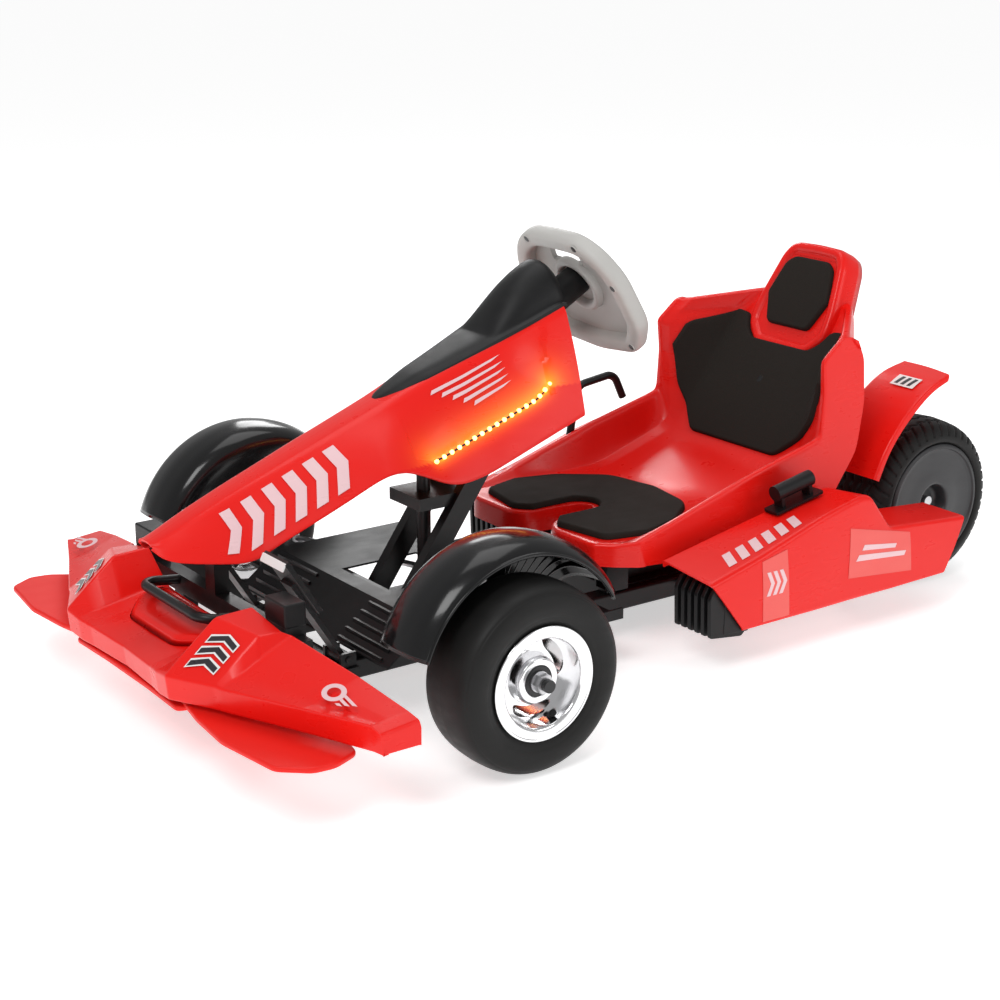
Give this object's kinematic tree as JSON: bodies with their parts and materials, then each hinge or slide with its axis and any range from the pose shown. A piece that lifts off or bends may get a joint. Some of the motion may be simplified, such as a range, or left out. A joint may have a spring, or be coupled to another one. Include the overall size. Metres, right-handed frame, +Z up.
{
  "type": "go-kart",
  "caption": "Low ride-on go-kart with a bucket seat, foot pedals, linked front steering, side pods and hub-motor rear wheels.",
  "frame": {"origin": "on the ground under the middle of the kart's overall length and width", "axes": "+Z up, the kart faces -Y, +X is the kart's own left side"},
  "size_m": [0.89, 1.478, 0.6117],
  "materials": {
    "frame_black": "satin powder coat",
    "body_red": "gloss moulded",
    "black_plastic": "fine textured",
    "foam_pad": "matt foam",
    "wheel_grey": "satin moulded",
    "rim_alloy": "polished",
    "tyre_black": "matt",
    "steel": "zinc plated",
    "black_steel": "satin",
    "fin_alloy": "anodised",
    "led_amber": "lit amber, emissive"
  },
  "bodies": {
    "chassis": {"frame_rails": "frame_black", "frame_crossmembers": "frame_black", "front_axle_beam": "frame_black", "kingpin_bolts": "steel", "floor_pan": "black_plastic", "column_block": "frame_black", "steering_struts": "frame_black", "battery_pack": "black_plastic", "battery_tray": "frame_black", "motor_controller": "fin_alloy", "motor_axles": "steel", "rear_axle_bracket": "frame_black", "seat_shell": "body_red", "seat_base_pad": "foam_pad", "seat_back_pad": "foam_pad", "headrest_pad": "foam_pad", "seat_brackets": "frame_black", "side_pod_left": "body_red", "side_pod_right": "body_red", "pod_inserts": "black_plastic", "side_clamp": "black_plastic", "rear_fender_left": "body_red", "rear_fender_right": "body_red", "fender_brackets": "frame_black", "nose_fairing": "body_red", "dash_cover": "black_plastic", "led_strips": "led_amber", "front_bumper": "body_red", "bumper_lip": "body_red", "bumper_bar": "frame_black", "front_hoop": "frame_black", "pedal_brackets": "frame_black", "frame_bolts": "steel"},
    "steering": {"steering_wheel": "wheel_grey", "steering_hub": "steel", "steering_column": "steel"},
    "steering_coupler": {"steering_coupler": "black_steel"},
    "spindle": {"steering_spindle": "black_steel"},
    "tie_rod_left": {"tie_rod_left": "steel"},
    "tie_rod_right": {"tie_rod_right": "steel"},
    "knuckle_left": {"knuckle_left": "black_steel", "mudguard_left": "black_plastic", "axle_nut_left": "steel"},
    "knuckle_right": {"knuckle_right": "black_steel", "mudguard_right": "black_plastic", "axle_nut_right": "steel"},
    "front_wheel_left": {"front_rim_left": "rim_alloy", "front_tyre_left": "tyre_black", "wheel_bearings_left": "steel"},
    "front_wheel_right": {"front_rim_right": "rim_alloy", "front_tyre_right": "tyre_black", "wheel_bearings_right": "steel"},
    "rear_wheel_left": {"motor_shell_left": "black_plastic", "rear_tyre_left": "tyre_black"},
    "rear_wheel_right": {"motor_shell_right": "black_plastic", "rear_tyre_right": "tyre_black"},
    "throttle_pedal": {"throttle_pedal": "black_steel"},
    "brake_pedal": {"brake_pedal": "black_steel"},
    "brake_lever": {"brake_lever": "black_steel"},
    "power_button": {"power_button": "black_plastic"}
  },
  "joints": [
    {"name": "steering_turn", "type": "hinge", "parent": "chassis", "child": "steering", "pos_m": [0, 0.009, 0.525], "axis": [0, 0.866, 0.5], "range_deg": [-25, 25]},
    {"name": "coupler_turn", "type": "hinge", "parent": "chassis", "child": "steering_coupler", "pos_m": [0, -0.23695, 0.383], "axis": [0, 0.5, 0.866], "range_deg": [-25, 25]},
    {"name": "spindle_turn", "type": "hinge", "parent": "chassis", "child": "spindle", "pos_m": [0, -0.25081, 0.375], "axis": [0, 0, 1], "range_deg": [-25, 25]},
    {"name": "tie_rod_left_swing", "type": "hinge", "parent": "spindle", "child": "tie_rod_left", "pos_m": [0.014, -0.18881, 0.114], "axis": [0, 0, 1], "range_deg": [-25, 25]},
    {"name": "tie_rod_right_swing", "type": "hinge", "parent": "spindle", "child": "tie_rod_right", "pos_m": [-0.014, -0.18881, 0.114], "axis": [0, 0, 1], "range_deg": [-25, 25]},
    {"name": "kingpin_left", "type": "hinge", "parent": "chassis", "child": "knuckle_left", "pos_m": [0.292, -0.354, 0.127], "axis": [0, 0, 1], "range_deg": [-25, 25]},
    {"name": "kingpin_right", "type": "hinge", "parent": "chassis", "child": "knuckle_right", "pos_m": [-0.292, -0.354, 0.127], "axis": [0, 0, 1], "range_deg": [-25, 25]},
    {"name": "front_wheel_left_spin", "type": "hinge", "parent": "knuckle_left", "child": "front_wheel_left", "pos_m": [0.38, -0.354, 0.127], "axis": [1, 0, 0], "continuous": true},
    {"name": "front_wheel_right_spin", "type": "hinge", "parent": "knuckle_right", "child": "front_wheel_right", "pos_m": [-0.38, -0.354, 0.127], "axis": [1, 0, 0], "continuous": true},
    {"name": "rear_wheel_left_spin", "type": "hinge", "parent": "chassis", "child": "rear_wheel_left", "pos_m": [0.14, 0.606, 0.133], "axis": [1, 0, 0], "continuous": true},
    {"name": "rear_wheel_right_spin", "type": "hinge", "parent": "chassis", "child": "rear_wheel_right", "pos_m": [-0.14, 0.606, 0.133], "axis": [1, 0, 0], "continuous": true},
    {"name": "throttle_press", "type": "hinge", "parent": "chassis", "child": "throttle_pedal", "pos_m": [-0.115, -0.465, 0.092], "axis": [1, 0, 0], "range_deg": [0, 14], "stiffness_Nm_per_rad": 6, "springref_deg": -17.19},
    {"name": "brake_press", "type": "hinge", "parent": "chassis", "child": "brake_pedal", "pos_m": [0.115, -0.465, 0.092], "axis": [1, 0, 0], "range_deg": [0, 14], "stiffness_Nm_per_rad": 6, "springref_deg": -17.19},
    {"name": "brake_lever_pull", "type": "hinge", "parent": "chassis", "child": "brake_lever", "pos_m": [-0.206, 0.15, 0.092], "axis": [-1, 0, 0], "range_deg": [0, 25], "stiffness_Nm_per_rad": 4, "springref_deg": -20.05},
    {"name": "power_button_press", "type": "slide", "parent": "chassis", "child": "power_button", "axis": [0, -1, 0], "range_m": [0, 0.003], "stiffness_N_per_m": 600}
  ],
  "couplings": [
    {"joint": "coupler_turn", "follows": "steering_turn", "ratio": 1},
    {"joint": "spindle_turn", "follows": "steering_turn", "ratio": 1},
    {"joint": "tie_rod_left_swing", "follows": "steering_turn", "ratio": -1},
    {"joint": "tie_rod_right_swing", "follows": "steering_turn", "ratio": -1},
    {"joint": "kingpin_left", "follows": "steering_turn", "ratio": 1},
    {"joint": "kingpin_right", "follows": "steering_turn", "ratio": 1}
  ]
}
